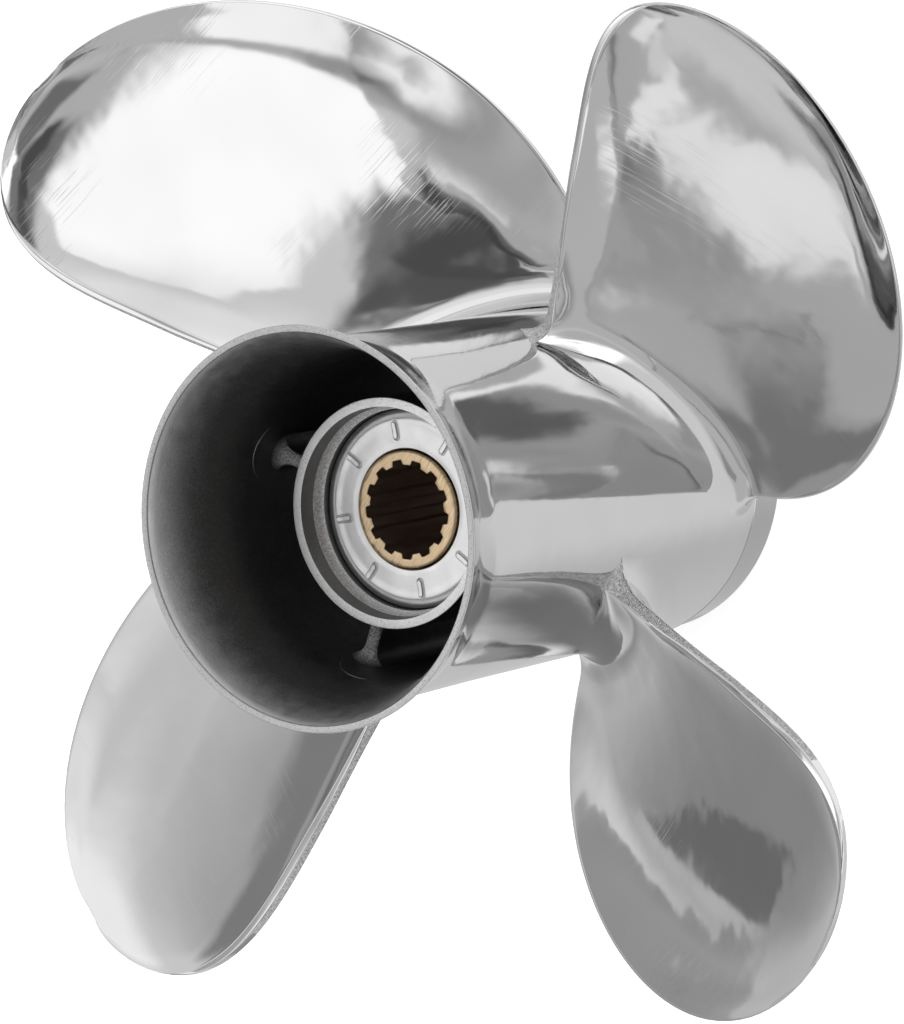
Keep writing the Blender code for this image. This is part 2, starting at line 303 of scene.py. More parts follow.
def clean(mesh):
    """Merge points that lie on each other, turn all faces outward and shade them smooth."""
    bm = bmesh.new()
    bm.from_mesh(mesh)
    bmesh.ops.remove_doubles(bm, verts=bm.verts, dist=MERGE_DISTANCE)
    bmesh.ops.recalc_face_normals(bm, faces=bm.faces)
    bm.to_mesh(mesh)
    bm.free()
    mesh.shade_smooth()
    mesh.set_sharp_from_angle(angle=math.radians(SHARP_ANGLE))


def rounded(profile):
    """Expand (radius, height, corner radius) points into a polyline with round corners."""
    points = []
    count = len(profile)
    for i, (radius, height, corner) in enumerate(profile):
        here = np.array([radius, height])
        if corner <= 0.0:
            points.append(here)
            continue
        before = np.array(profile[i - 1][:2]) - here
        after = np.array(profile[(i + 1) % count][:2]) - here
        before /= np.linalg.norm(before)
        after /= np.linalg.norm(after)
        half = 0.5 * math.acos(np.clip(before @ after, -1.0, 1.0))
        reach = corner / math.tan(half)
        start, end = here + before * reach, here + after * reach
        for t in np.linspace(0.0, 1.0, CORNER_STEPS):
            a = start + (here - start) * t
            b = here + (end - here) * t
            points.append(a + (b - a) * t)
    return np.array(points)


def turned(name, profile, segments, materials, slot_of=None):
    """Spin a closed outline of (radius, height) points once round the shaft."""
    angles = np.linspace(0.0, math.tau, segments, endpoint=False)
    points = polar(profile[:, None, 0], angles[None, :], profile[:, None, 1])
    slots = np.zeros((len(profile), segments), dtype=int)
    if slot_of is not None:
        following = np.roll(profile, -1, axis=0)
        for i, (a, b) in enumerate(zip(profile, following)):
            slots[i, :] = slot_of(0.5 * (a + b))
    return mesh_from_grids(name, [(points, True, True, slots)], materials)


# Materials

# Painted shade in the bell lifts between two heights, and on the webs it deepens between two
# radii towards the bell's wall
PAINTED_SHADE_HEIGHTS = (0.118, 0.1325)
PAINTED_SHADE_RADII = (0.0352, 0.0374)

# How deep the buffing lines are on each blade; the first faces the light and shows them most
SCRATCH_DEPTHS = (0.000008, 0.000002, 0.000002, 0.000002)


def grey(value):
    return (value, value, value)


class Shader:
    """A small wrapper that builds a node material."""

    def __init__(self, name):
        self.material = bpy.data.materials.new(name)
        self.material.use_nodes = True
        self.tree = self.material.node_tree
        self.principled = self.tree.nodes["Principled BSDF"]
        self.coordinates = self.node("ShaderNodeTexCoord").outputs["Object"]

    def node(self, kind, **values):
        made = self.tree.nodes.new(kind)
        for key, value in values.items():
            setattr(made, key, value)
        return made

    def link(self, source, target):
        self.tree.links.new(source, target)

    def mapped(self, scale, angles=(0, 0, 0)):
        """Coordinates turned by the angles and then stretched along the turned axes."""
        mapping = self.node("ShaderNodeMapping", vector_type="TEXTURE")
        mapping.inputs["Scale"].default_value = [1.0 / value for value in scale]
        mapping.inputs["Rotation"].default_value = [math.radians(a) for a in angles]
        self.link(self.coordinates, mapping.inputs["Vector"])
        return mapping.outputs["Vector"]

    def noise(self, scale, detail=4.0, rough=0.55, vector=None):
        """Noise between 0 and 1, with scale cells per metre."""
        noise = self.node("ShaderNodeTexNoise")
        noise.inputs["Scale"].default_value = scale
        noise.inputs["Detail"].default_value = detail
        noise.inputs["Roughness"].default_value = rough
        self.link(vector or self.coordinates, noise.inputs["Vector"])
        return noise.outputs["Fac"]

    def ramp(self, source, low, high, start=0.0, end=1.0):
        """Map a value from low..high to start..end, clamped."""
        node = self.node("ShaderNodeMapRange")
        node.inputs["From Min"].default_value = low
        node.inputs["From Max"].default_value = high
        node.inputs["To Min"].default_value = start
        node.inputs["To Max"].default_value = end
        self.link(source, node.inputs["Value"])
        return node.outputs["Result"]

    def math(self, operation, a, b):
        node = self.node("ShaderNodeMath", operation=operation)
        for socket, value in zip(node.inputs, (a, b)):
            if isinstance(value, (int, float)):
                socket.default_value = value
            else:
                self.link(value, socket)
        return node.outputs["Value"]

    def colour(self, source, dark, light):
        """Base colour that runs from dark to light with the source."""
        node = self.node("ShaderNodeValToRGB")
        node.color_ramp.elements[0].color = (*dark, 1.0)
        node.color_ramp.elements[1].color = (*light, 1.0)
        self.link(source, node.inputs["Fac"])
        self.link(node.outputs["Color"], self.principled.inputs["Base Color"])

    def bump(self, height, distance, normal=None):
        """Bump of the given height in metres, over another normal where one is given."""
        node = self.node("ShaderNodeBump")
        node.inputs["Distance"].default_value = distance
        self.link(height, node.inputs["Height"])
        if normal is not None:
            self.link(normal, node.inputs["Normal"])
        return node.outputs["Normal"]

    def surface(self, roughness, normal, metallic=1.0):
        """Finish the material and return it."""
        self.principled.inputs["Metallic"].default_value = metallic
        self.link(roughness, self.principled.inputs["Roughness"])
        self.link(normal, self.principled.inputs["Normal"])
        return self.material

    def soft_roughness(self, scale, low, high):
        """Roughness that drifts between two values in soft clouds."""
        return self.ramp(self.noise(scale), 0.3, 0.7, low, high)


def polished_steel(name, wave, shine, turn=0.0, scratch_depth=0.000003, tone=1.0):
    """Mirror polish with buffing lines, over a surface that hand grinding left uneven."""
    s = Shader(name)
    s.colour(s.noise(45.0, 1.0), grey(0.61 * tone), grey(0.68 * tone))
    lines = s.noise(1.0, 2.0, 0.5, s.mapped((3000, 60, 60), (0, -19, 30 + turn)))
    worked = s.ramp(s.noise(26.0, 1.0, 0.6), 0.44, 0.60)
    scratch = s.math("MULTIPLY", s.ramp(lines, 0.60, 0.70), worked)
    smear = s.ramp(s.noise(38.0, 1.0), 0.35, 0.7, shine, shine + 0.05)
    roughness = s.math("ADD", smear, s.math("MULTIPLY", scratch, 0.09))
    rolling = s.bump(s.noise(42.0, 2.0, 0.45), wave)
    ripple = s.bump(s.noise(160.0, 1.0, 0.5), 0.12 * wave, rolling)
    return s.surface(roughness, s.bump(scratch, scratch_depth, ripple))


def bell_steel():
    """Blasted steel, with painted shade that darkens it from the rim further into the bell."""
    s = Shader("bell_steel_painted_shade")
    height = s.node("ShaderNodeSeparateXYZ")
    s.link(s.coordinates, height.inputs["Vector"])
    # Painted shade: the colour runs dark deep in the bell and light at the rim
    depth = s.math("POWER", s.ramp(height.outputs["Z"], *PAINTED_SHADE_HEIGHTS), 2.2)
    speckle = s.ramp(s.noise(1900.0, 4.0, 0.7), 0.36, 0.64, -0.11, 0.11)
    s.colour(s.math("ADD", depth, speckle), grey(0.122), grey(0.53))
    grain = s.bump(s.noise(2200.0, 3.0, 0.6), 0.00006)
    return s.surface(s.soft_roughness(300.0, 0.42, 0.55), grain)


def web_steel():
    """Rough cast web, with painted shade that darkens it where it meets the wall of the bell."""
    s = Shader("web_steel")
    across = s.node("ShaderNodeVectorMath", operation="MULTIPLY")
    across.inputs[1].default_value = (1.0, 1.0, 0.0)
    s.link(s.coordinates, across.inputs[0])
    distance = s.node("ShaderNodeVectorMath", operation="LENGTH")
    s.link(across.outputs["Vector"], distance.inputs[0])
    # Painted shade: the colour fades to dark as the web nears the bell's wall
    lit_share = s.ramp(distance.outputs["Value"], *PAINTED_SHADE_RADII, 1.0, 0.0)
    grain = s.noise(2300.0, 4.0, 0.7)
    tone = s.math("MULTIPLY", s.ramp(grain, 0.38, 0.62, 0.32, 1.0), lit_share)
    s.colour(tone, grey(0.1), grey(1.0))
    return s.surface(s.soft_roughness(300.0, 0.5, 0.65), s.bump(grain, 0.0006))


def edge_steel():
    """The trailing edges' end faces, left rough as they came from the mould."""
    s = Shader("rough_cast_edge")
    s.colour(s.ramp(s.noise(1900.0, 4.0, 0.65), 0.34, 0.64), grey(0.36), grey(0.80))
    fine = s.bump(s.noise(2100.0, 4.0, 0.65), 0.0006)
    lumps = s.bump(s.noise(420.0, 3.0), 0.00025, fine)
    return s.surface(s.soft_roughness(300.0, 0.34, 0.5), lumps)


def satin_lip(name, dark, light):
    """Ground ring with small dark pits."""
    s = Shader(name)
    pits = s.ramp(s.noise(2600.0, 3.0, 0.6), 0.33, 0.46)
    s.colour(pits, grey(dark), grey(light))
    return s.surface(s.soft_roughness(700.0, 0.42, 0.54), s.bump(pits, 0.00002))


def turned_steel():
    """The shelf of the inner hub: turned, with slanting tool marks."""
    s = Shader("turned_shelf")
    marks = s.noise(1.0, 3.0, 0.65, s.mapped((4000, 1300, 1300), (0, 0, 40)))
    s.colour(s.ramp(marks, 0.36, 0.64), grey(0.55), grey(0.98))
    return s.surface(s.ramp(marks, 0.3, 0.7, 0.32, 0.48), s.bump(marks, 0.00008))


def pressed_steel():
    """The washer: rolled sheet with fine pits."""
    s = Shader("satin_steel")
    pits = s.ramp(s.noise(1500.0, 4.0, 0.6), 0.26, 0.34)
    s.colour(pits, grey(0.40), grey(0.69))
    soft = s.bump(s.noise(150.0, 2.0), 0.00005)
    return s.surface(s.soft_roughness(240.0, 0.27, 0.36), s.bump(pits, 0.00001, soft))


def brass():
    """The sleeve's end face, with slanting lines left by the saw."""
    s = Shader("machined_brass")
    lines = s.ramp(s.noise(1.0, 2.0, 0.6, s.mapped((2500, 210, 210), (0, 0, 42))), 0.25, 0.75)
    s.colour(lines, (0.44, 0.305, 0.17), (0.80, 0.635, 0.43))
    return s.surface(s.ramp(lines, 0.3, 0.7, 0.28, 0.4), s.bump(lines, 0.00002))


def broached_bore():
    """The splines' walls, with marks along the shaft."""
    s = Shader("broached_bore")
    lines = s.noise(1.0, 3.0, 0.6, s.mapped((1800, 1800, 90)))
    s.colour(lines, (0.22, 0.162, 0.122), (0.44, 0.335, 0.265))
    return s.surface(s.ramp(lines, 0.3, 0.7, 0.45, 0.6), s.bump(lines, 0.00004))


def rubber():
    s = Shader("black_rubber")
    s.colour(s.noise(400.0), grey(0.012), grey(0.03))
    return s.surface(s.soft_roughness(200.0, 0.55, 0.75), s.bump(s.noise(900.0), 0.0001), 0.0)


STEELS = [polished_steel(f"polished_stainless_{n + 1}", 0.00028, 0.045, 90.0 * n, depth)
          for n, depth in enumerate(SCRATCH_DEPTHS)]
BARREL = polished_steel("polished_barrel", 0.0002, 0.05)
BAND = polished_steel("ground_band", 0.0002, 0.12, tone=0.8)
BELL, CAST = bell_steel(), web_steel()
EDGE = edge_steel()
# The recess material is a darker copy of the satin lip: painted shade on the recess walls and the
# rim's inner corner, and used for the witness marks too
SHELF, SHADED_RECESS = turned_steel(), satin_lip("recess_wall_painted_shade", 0.16, 0.23)
LIP, RIM = satin_lip("satin_lip", 0.58, 0.80), satin_lip("satin_rim", 0.26, 0.50)
WASHER, BRASS, BORE, RUBBER = pressed_steel(), brass(), broached_bore(), rubber()


# Outer hub

def outer_hub():
    """The barrel with its forward band, flared rim, bell and bore."""
    t = np.linspace(0.0, 1.0, 22)
    flare = np.stack([FLARE_RADIUS + (RIM_RADIUS - 0.15 - FLARE_RADIUS) * t ** FLARE_POWER,
                      FLARE_START + (HUB_LENGTH - 0.45 - FLARE_START) * t], axis=1)
    u = np.linspace(1.0, 0.0, 18)
    bell = np.stack([BORE_RADIUS + (RIM_INNER - BORE_RADIUS) * u ** BELL_POWER,
                     BELL_START + (HUB_LENGTH - 0.4 - BELL_START) * u], axis=1)
    groove = BARREL_RADIUS - GROOVE_DEPTH
    # The last point of the front only gives the first round corner its direction
    front = rounded([(BORE_RADIUS + 0.5, 0.0, 0.3),
                     (BAND_RADIUS, 0.0, 0.5),
                     (BAND_RADIUS + BAND_TAPER, BAND_LENGTH - 0.4, 0.3),
                     (BARREL_RADIUS, BAND_LENGTH, 0.12),
                     (BARREL_RADIUS, BAND_LENGTH + 0.35, 0.0),
                     (groove, BAND_LENGTH + 0.5, 0.0),
                     (groove, BAND_LENGTH + 0.65, 0.0),
                     (BARREL_RADIUS, BAND_LENGTH + 0.9, 0.0),
                     (BARREL_RADIUS, 20.0, 0.0)])
    front = front[:-1]
    barrel = np.array([(BARREL_RADIUS, z) for z in np.linspace(13.0, TAPER_START, 12)])
    taper = np.array([(BARREL_RADIUS + TAPER_GROWTH * run_in(z, TAPER_START, TAPER_LENGTH), z)
                      for z in np.linspace(88.0, 118.0, 8)])
    lip = np.array([(RIM_RADIUS, HUB_LENGTH - 0.3),
                    (RIM_RADIUS - 0.06, HUB_LENGTH - 0.12),
                    (RIM_RADIUS - 0.22, HUB_LENGTH),
                    (RIM_INNER + 0.38, HUB_LENGTH),
                    (RIM_INNER + 0.26, HUB_LENGTH - 0.06),
                    (RIM_INNER + 0.04, HUB_LENGTH - 0.36)])
    bore = np.array([(BORE_RADIUS, z) for z in np.linspace(96.0, 4.0, 8)])
    profile = np.concatenate([front, barrel, taper, flare, lip, bell, bore])
    on_barrel, on_rim, in_bell, in_corner, on_band = range(5)

    def slot_of(middle):
        radius, height = middle
        # The rim's inner corner takes the darker recess material as painted shade
        if HUB_LENGTH - 0.3 < height < HUB_LENGTH - 0.1 and radius < RIM_INNER + 0.3:
            return in_corner
        if height > HUB_LENGTH - 0.2 and radius < RIM_RADIUS - 0.1:
            return on_rim
        polished = BARREL_RADIUS - BARREL_POLISH_DEPTH
        if height >= FLARE_POLISH_FROM:
            share = max(0.0, (height - FLARE_START) / (HUB_LENGTH - FLARE_START))
            growth = RIM_RADIUS - FLARE_POLISH_DEPTH - FLARE_RADIUS
            polished = FLARE_RADIUS - FLARE_POLISH_DEPTH + growth * share
        if radius <= polished:
            return in_bell
        return on_band if height < BAND_LENGTH + 0.8 else on_barrel

    materials = [BARREL, RIM, BELL, SHADED_RECESS, BAND]
    return turned("polished_hub", profile, HUB_SEGMENTS, materials, slot_of)


# Blades

# Shares of the chord at which a section has its points, close together at both edges
BLADE_SPOTS = np.concatenate([0.12 * np.linspace(0.0, 1.0, 26) ** 1.7,
                              np.linspace(0.12, 0.86, 36)[1:],
                              np.linspace(0.86, 0.996, 16)[1:]])


def soft_corner(before, corner, after, radius):
    """Three points that round a corner of a section."""
    ways = []
    for end in (before, after):
        way = end - corner
        length = np.linalg.norm(way)
        ways.append(way / max(length, TINY) * min(radius, CORNER_LIMIT * length))
    return [corner + ways[0], corner + CORNER_MIDDLE * (ways[0] + ways[1]), corner + ways[1]]


def end_face(radius, half):
    """Thickness of the trailing edge, its reach past the chord and the slant of its end."""
    climb = radius - BARREL_RADIUS
    thick = END_THICKNESS + END_CUP_GAIN * run_in(radius, *END_CUP_RUN)
    thick -= END_TIP_LOSS * run_in(radius, *END_TIP_RUN)
    free = min(1.0, max(0.0, (radius - END_TRIM_FROM) / END_TRIM_SPAN))
    reach = END_REACH * (1.0 - run_in(radius, *REACH_LOSS_RUN))
    reach -= END_TRIM * (1.0 - free) ** END_TRIM_POWER
    if climb < END_FOOT_HEIGHT:
        reach += END_FOOT_WIDTH * (1.0 - math.sqrt(1.0 - (1.0 - climb / END_FOOT_HEIGHT) ** 2))
    slant = END_SLANT + END_SLANT_GAIN * run_in(radius, *SLANT_GAIN_RUN)
    slant *= 1.0 - END_SLANT_LOSS * run_in(radius, *SLANT_LOSS_RUN)
    return thick, reach, min(slant, 0.5 * half)


def blade_section(radius, grow):
    """Closed outline of the blade at one radius, in (along, across) millimetres."""
    part = (radius - BARREL_RADIUS) / (SPAN_END - BARREL_RADIUS)
    spots = BLADE_SPOTS
    half = math.sqrt(max(TINY, 1.0 - part ** TIP_POWER)) * polynomial(HALF_CHORD, part)
    rim = min(1.0, (TIP_RADIUS - radius) / TIP_ROUNDING)
    closing = math.sqrt(max(0.0, 1.0 - (1.0 - rim) ** 2))
    thick = TIP_THICKNESS + (ROOT_THICKNESS - TIP_THICKNESS) * (1.0 - part) ** THICKNESS_POWER
    trailing, reach, slant = end_face(radius, half)
    leading = TIP_LEADING_EDGE + (ROOT_LEADING_EDGE - TIP_LEADING_EDGE) * (1.0 - part)
    cup = CUP_DEPTH * run_in(part, *CUP_SPAN_RUN) * min(1.0, half / CUP_FULL_HALF_CHORD)
    nose_reach = NOSE_LENGTH / max(2.0 * half, 2.0 * NOSE_LENGTH)
    nose = np.sqrt(1.0 - (1.0 - np.minimum(1.0, spots / nose_reach)) ** 2)
    edge = leading + (trailing - leading) * spots
    fullness = (4.0 * spots * (1.0 - spots)) ** FULLNESS_POWER
    depth = (edge * nose + max(0.0, thick - trailing) * fullness) * closing
    curve = CAMBER_RATIO * 2.0 * half * 4.0 * spots * (1.0 - spots)
    hook = np.clip((spots - CUP_START) / (1.0 - CUP_START), 0.0, 1.0) ** 2
    curve = curve + cup * run_in(spots, *CUP_CHORD_RUN) * (1.0 - hook)
    face = FACE_SHARE * edge * closing - 0.5 * (1.0 - nose) * leading * closing - curve
    length = 2.0 * half + reach
    aft = np.stack([-half + (length - slant) * spots, face], axis=1)
    forward = np.stack([-half + length * spots, face - depth], axis=1)
    share = 1.0 - (1.0 - FILLET_EDGE_SHARE) * run_in(spots, *FILLET_EDGE_RUN)
    share = share - (1.0 - FILLET_NOSE_SHARE) * (1.0 - run_in(spots, *FILLET_NOSE_RUN))
    sides = []
    for side, sign in ((aft, 1.0), (forward, -1.0)):
        tangent = np.gradient(side, axis=0)
        normal = np.stack([-tangent[:, 1], tangent[:, 0]], axis=1) * sign
        normal /= np.maximum(np.linalg.norm(normal, axis=1, keepdims=True), TINY)
        normal[0] = (-1.0, 0.0)
        normal[-1] = (0.0, sign)
        sides.append(side + normal * (grow * share)[:, None])
    aft, forward = sides
    bevel = run_in(radius, *BEVEL_RUN)
    middle = aft[-1] + (forward[-1] - aft[-1]) * (BEVEL_FOOT_SHARE + BEVEL_SHARE_GAIN * bevel)
    middle[0] += END_BEVEL * slant * bevel * closing
    notch = END_NOTCH * (1.0 - run_in(radius, *NOTCH_LOSS_RUN))
    size = END_CORNER * max(closing, 0.02)
    way = forward[-1] - middle
    end = soft_corner(aft[-2], aft[-1], middle, size * (2.0 - bevel))
    end += soft_corner(aft[-1], middle, forward[-1], size)
    end += [middle + way * along for along in END_POINTS]
    end += [middle + way * END_NOTCH_SHARE + np.array([-notch, 0.0])]
    end += soft_corner(middle, forward[-1], forward[-2], size)
    return np.concatenate([aft[:-1], end, forward[-2:0:-1]])


def blade(name, number):
    fillet = np.radians(np.array(FILLET_ANGLES))
    climb = FILLET_HEIGHT * (1.0 - np.cos(fillet))
    main = np.linspace(BARREL_RADIUS + FILLET_HEIGHT, TIP_RADIUS - TIP_ZONE, MAIN_RINGS)[1:]
    last = TIP_RADIUS - np.array(TIP_STEPS)
    radii = np.concatenate([BARREL_RADIUS + climb, main, last])
    grow_levels = np.concatenate([FILLET_WIDTH * (1.0 - np.sin(fillet)),
                                  np.zeros(len(main) + len(last))])
    rings = []
    for radius, grow in zip(radii, grow_levels):
        outline = blade_section(radius, grow)
        part = (radius - BARREL_RADIUS) / (SPAN_END - BARREL_RADIUS)
        pitch = ROOT_PITCH + (TIP_PITCH - ROOT_PITCH) * part
        slope = math.atan2(pitch, math.tau * radius)
        outward = radius - BARREL_RADIUS
        middle = math.radians(BLADE_PHASE + number * 360.0 / BLADE_COUNT)
        middle += part * polynomial(SKEW, part)
        height = MID_CHORD_Z + RAKE_SLOPE * outward + RAKE_CURVE * outward ** 2
        a, n = outline[:, 0], outline[:, 1]
        rings.append(polar(radius, middle + (a * math.cos(slope) - n * math.sin(slope)) / radius,
                           height + a * math.sin(slope) + n * math.cos(slope)))
    foot = rings[0].copy()
    foot[:, :2] *= (BARREL_RADIUS - ROOT_DEPTH) / BARREL_RADIUS
    rings.insert(0, foot)
    points = np.stack(rings)
    # Past the aft side's points, columns 5 to 9 are the end face and columns 2 to 4 its bevel
    on_blade, on_edge = range(2)
    slots = np.full((len(rings), points.shape[1]), on_blade)
    first = len(BLADE_SPOTS) - 1
    rough_end = int(np.searchsorted(radii, ROUGH_END_RADIUS))
    bevel_start = int(np.searchsorted(radii, ROUGH_FOOT_RADIUS))
    slots[:rough_end, first + 5:first + 10] = on_edge
    slots[:bevel_start, first + 2:first + 5] = on_edge
    return mesh_from_grids(name, [(points, False, True, slots[:-1])], [STEELS[number], EDGE])


# Inner hub, webs, bush, washer and sleeve

def inner_hub():
    """The ring in the bell, with a lip and a stepped recess in its aft end."""
    profile = rounded([(INNER_BORE_RADIUS + 1.2, INNER_HUB_FRONT, 0.3),
                       (INNER_HUB_RADIUS, INNER_HUB_FRONT, 1.0),
                       (INNER_HUB_RADIUS, INNER_HUB_AFT, 0.2),
                       (RECESS_RADIUS, INNER_HUB_AFT, 0.1),
                       (SHELF_RADIUS, SHELF_TOP, 0.12),
                       (INNER_BORE_RADIUS + 0.05, SHELF_BOTTOM, 0.15),
                       (INNER_BORE_RADIUS + 0.02, SHELF_BOTTOM - 3.0, 0.0),
                       (INNER_BORE_RADIUS, INNER_HUB_FRONT + 3.0, 0.5)])
    outside, on_lip, on_shelf, in_recess = range(4)

    def slot_of(middle):
        radius, height = middle
        if height > INNER_HUB_AFT - 0.4:
            return on_lip
        if SHELF_BOTTOM < height < SHELF_TOP and radius < SHELF_RADIUS:
            return on_shelf
        # The recess wall under the lip takes the darker recess material as painted shade
        return in_recess if height > SHELF_BOTTOM - 2.9 and radius < RECESS_RADIUS else outside

    return turned("inner_ring", profile, INNER_HUB_SEGMENTS, [BELL, LIP, SHELF, SHADED_RECESS], slot_of)


def wall_radius(height):
    """Radius of the bell's wall at one height."""
    share = max(0.0, (height - BELL_START) / (HUB_LENGTH - BELL_START))
    return BORE_RADIUS + (RIM_INNER - BORE_RADIUS) * share ** BELL_POWER


def witness_mark(centre, offset, height, size, start, end):
    """A faint raised arc that the core left on the wall beyond the foot of a web."""
    round_turn = np.linspace(0.0, math.tau, WITNESS_SIDES, endpoint=False)
    rings = []
    for turn in np.linspace(-1.0, 1.0, WITNESS_RINGS):
        swing = math.radians(0.5 * (start + end) + 0.5 * (end - start) * turn)
        thick = WITNESS_THICKNESS * math.sqrt(1.0 - WITNESS_TAPER * turn ** 2)
        z = height + size * math.cos(swing)
        angle = centre + (offset + size * math.sin(swing)) / BORE_RADIUS
        reach = thick * np.cos(round_turn)
        rings.append(polar(wall_radius(z) - thick * np.sin(round_turn),
                           angle + reach * math.sin(swing) / BORE_RADIUS,
                           z + reach * math.cos(swing)))
    return np.stack(rings)


def web(name, number):
    """A radial web whose foot spreads on the bell's wall, with its witness mark."""
    start, end = INNER_HUB_RADIUS - WEB_OVERLAP, BORE_RADIUS + WEB_OVERLAP
    parts = np.concatenate([np.linspace(0.0, WEB_INNER_REACH, 6), np.linspace(0.2, 0.5, 4),
                            np.linspace(0.55, 1.0, 16)])
    centre = math.radians(WEB_TURNS[number])
    top_turn = np.linspace(0.0, math.pi, 17)
    low_turn = top_turn + math.pi
    side_up = np.linspace(0.1, 0.9, 8)
    rings = []
    for part in parts:
        radius = start + (end - start) * part
        outer = max(0.0, (part - WEB_OUTER_START) / (1.0 - WEB_OUTER_START)) ** WEB_OUTER_POWER
        inner = max(0.0, 1.0 - part / WEB_INNER_REACH) ** 2
        half = WEB_HALF_THICKNESS + WEB_OUTER_FLARE * outer + WEB_INNER_FLARE * inner
        top = WEB_AFT + WEB_END_FLARE * outer + WEB_INNER_FLARE * inner
        low = WEB_FRONT - WEB_END_FLARE * outer - WEB_INNER_FLARE * inner
        a = np.stack([half * np.cos(top_turn), top - half + half * np.sin(top_turn)], axis=1)
        c = np.stack([half * np.cos(low_turn), low + half + half * np.sin(low_turn)], axis=1)
        b = a[-1] + (c[0] - a[-1]) * side_up[:, None]
        d = c[-1] + (a[0] - c[-1]) * side_up[:, None]
        outline = np.concatenate([a, b, c, d])
        rings.append(polar(radius, centre + np.arcsin(outline[:, 0] / radius), outline[:, 1]))
    points = np.stack(rings)
    on_end, on_mark, on_side = range(3)
    slots = np.full((len(rings) - 1, points.shape[1]), on_side)
    slots[:, 1:len(top_turn) - 2] = on_end
    mark = witness_mark(centre, *WITNESS_MARKS[number % 2])
    return mesh_from_grids(name, [(points, False, True, slots), (mark, False, True, on_mark)],
                           [CAST, SHADED_RECESS, BELL])


def bush():
    inner, outer = SLEEVE_RADIUS + BUSH_CLEARANCE, INNER_BORE_RADIUS - BUSH_CLEARANCE
    profile = rounded([(inner, BUSH_FRONT, 0.8), (outer, BUSH_FRONT, 1.2),
                       (outer, BUSH_AFT, 0.3), (inner, BUSH_AFT, 0.3)])
    return turned("moulded_bush", profile, BUSH_SEGMENTS, [RUBBER])


def washer():
    """A ring with a rolled outer edge and raised ribs, each with a pressed line round it."""
    outer = INNER_BORE_RADIUS - WASHER_OUTER_CLEARANCE
    inner = SLEEVE_RADIUS + WASHER_INNER_CLEARANCE
    radii = np.concatenate([inner + np.array([0.0, 0.05, 0.2, 0.45]),
                            np.linspace(14.4, 15.4, 4),
                            np.linspace(15.5, 20.6, 52),
                            np.linspace(20.75, outer - 0.6, 8),
                            outer - np.array([0.45, 0.32, 0.2, 0.1, 0.04, 0.0])])
    step = math.tau / RIB_COUNT
    close = np.linspace(-RIB_SPAN, RIB_SPAN, RIB_STEPS) / RIB_RADIUS
    plain = np.linspace(close[-1], step + close[0], 22)[1:-1]
    angles = np.concatenate([math.radians(RIB_PHASE) + rib * step + np.concatenate([close, plain])
                             for rib in range(RIB_COUNT)])
    r, a = np.meshgrid(radii, angles, indexing="ij")
    height = WASHER_TOP - DIP_DEPTH * smooth_step(DIP_RADIUS - r)
    height += SWELL_HEIGHT * np.exp(-(r - SWELL_RADIUS) ** 2)
    roll = np.clip((r - ROLL_RADIUS) / (outer - ROLL_RADIUS), 0.0, 1.0)
    height -= ROLL_DEPTH * roll ** ROLL_POWER
    outer_edge = np.clip((r - outer + OUTER_EDGE_WIDTH) / OUTER_EDGE_WIDTH, 0.0, 1.0)
    inner_edge = np.clip((inner + INNER_EDGE_WIDTH - r) / INNER_EDGE_WIDTH, 0.0, 1.0)
    height -= OUTER_EDGE_DROP * outer_edge ** 2
    height -= INNER_EDGE_DROP * inner_edge ** 2
    near = (a - math.radians(RIB_PHASE) + 0.5 * step) % step - 0.5 * step
    beyond = np.maximum(0.0, np.abs(r - RIB_RADIUS) - RIB_HALF_LENGTH)
    reach = np.hypot(near * r, beyond)
    height += RIB_HEIGHT * (1.0 - run_in(reach, RIB_HALF_WIDTH, RIB_SLOPE))
    line_depth, line_reach, line_width = RIB_LINE
    height -= line_depth * np.exp(-((reach - line_reach) / line_width) ** 2)
    under = np.stack([polar(outer, angles, WASHER_BOTTOM), polar(inner, angles, WASHER_BOTTOM)])
    points = np.concatenate([polar(r, a, height), under])
    return mesh_from_grids("ribbed_washer", [(points, True, True, 0)], [WASHER])


# One spline groove, as (share of the pitch, radius) from the land before it to its middle
HALF_GROOVE = ((-0.5, SPLINE_MINOR), (-0.40, SPLINE_MINOR), (-0.31, SPLINE_MINOR),
               (-0.295, SPLINE_MINOR + 0.06), (-0.21, SPLINE_MAJOR - 0.05), (-0.19, SPLINE_MAJOR),
               (0.0, SPLINE_MAJOR))


def sleeve():
    pitch = math.tau / SPLINE_COUNT
    groove = HALF_GROOVE + tuple((-side, radius) for side, radius in HALF_GROOVE[-2:0:-1])
    plan = []
    for tooth in range(SPLINE_COUNT):
        middle = math.radians(SPLINE_PHASE) + tooth * pitch
        plan += [(radius, middle + side * pitch) for side, radius in groove]
    plan = np.array(plan)
    radii, angles = plan[:, 0], plan[:, 1]
    front = INNER_HUB_FRONT
    rings = []
    for height, growth in ((front, 0.3), (front + 0.4, 0.0), (SLEEVE_AFT - 0.25, 0.0),
                           (SLEEVE_AFT - 0.07, 0.05), (SLEEVE_AFT, 0.2)):
        rings.append(polar(radii + growth, angles, height))
    for share in (0.35, 0.7):
        outward = (SLEEVE_RADIUS - 0.5 - radii) * share
        rings.append(polar(radii + 0.2 + outward, angles, SLEEVE_AFT))
    for height, drop in ((SLEEVE_AFT, 0.36), (SLEEVE_AFT - 0.06, 0.22), (SLEEVE_AFT - 0.26, 0.04),
                         (SLEEVE_AFT - 0.4, 0.0), (front + 0.4, 0.0), (front, 0.4)):
        rings.append(polar(SLEEVE_RADIUS - drop, angles, height))
    on_face, in_bore = range(2)
    slots = np.full((len(rings), len(plan)), on_face)
    slots[:2] = in_bore
    slots[-1] = in_bore
    return mesh_from_grids("brass_sleeve", [(np.stack(rings), True, True, slots)], [BRASS, BORE])


def place(obj, slot, *nodes):
    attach(obj, "root")
    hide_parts(*nodes)


